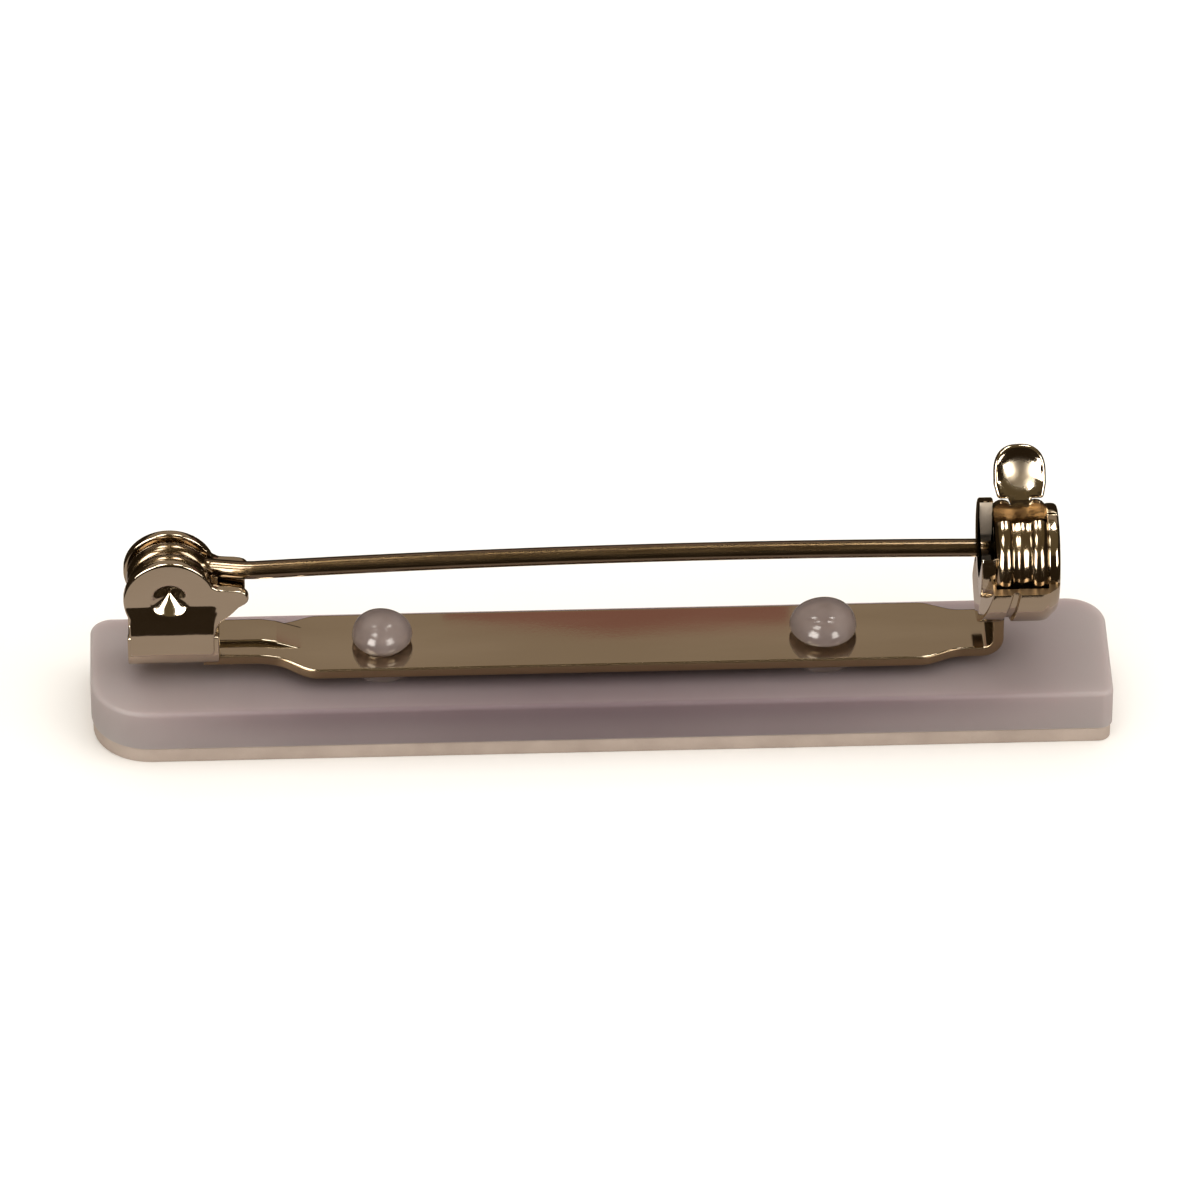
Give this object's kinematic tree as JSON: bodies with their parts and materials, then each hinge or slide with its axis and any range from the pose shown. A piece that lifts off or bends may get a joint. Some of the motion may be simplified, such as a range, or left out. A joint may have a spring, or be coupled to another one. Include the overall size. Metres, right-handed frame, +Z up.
{
  "type": "brooch pin finding",
  "caption": "Self-adhesive bar pin: flat plastic bar with foam tape, stamped metal plate, coiled hinged pin wire and turning safety catch with a thumb tab.",
  "frame": {"origin": "centre of the adhesive underside of the bar", "axes": "+X along the bar, from the hinge to the catch; +Y towards the side that the thumb tab leans to; +Z up from the adhesive face to the pin wire"},
  "size_m": [0.0382, 0.006, 0.0102],
  "materials": {
    "foam_tape": "matte foam with adhesive faces",
    "frosted_plastic": "frosted, slightly translucent",
    "plated_sheet": "nickel plated, bright",
    "steel_wire": "nickel plated, bright",
    "plated_catch": "nickel plated, bright"
  },
  "bodies": {
    "base": {"adhesive_pad": "foam_tape", "base_bar": "frosted_plastic", "bar_plate": "plated_sheet"},
    "pin": {"pin_stem": "steel_wire"},
    "roller": {"catch_roller": "plated_catch"}
  },
  "joints": [
    {"name": "pin_hinge", "type": "hinge", "parent": "base", "child": "pin", "pos_m": [-0.016, 0, 0.00617], "axis": [0, -1, 0], "range_deg": [0, 100]},
    {"name": "catch_turn", "type": "hinge", "parent": "base", "child": "roller", "pos_m": [0.0156, 0, 0.00668], "axis": [1, 0, 0], "range_deg": [0, 95]}
  ]
}
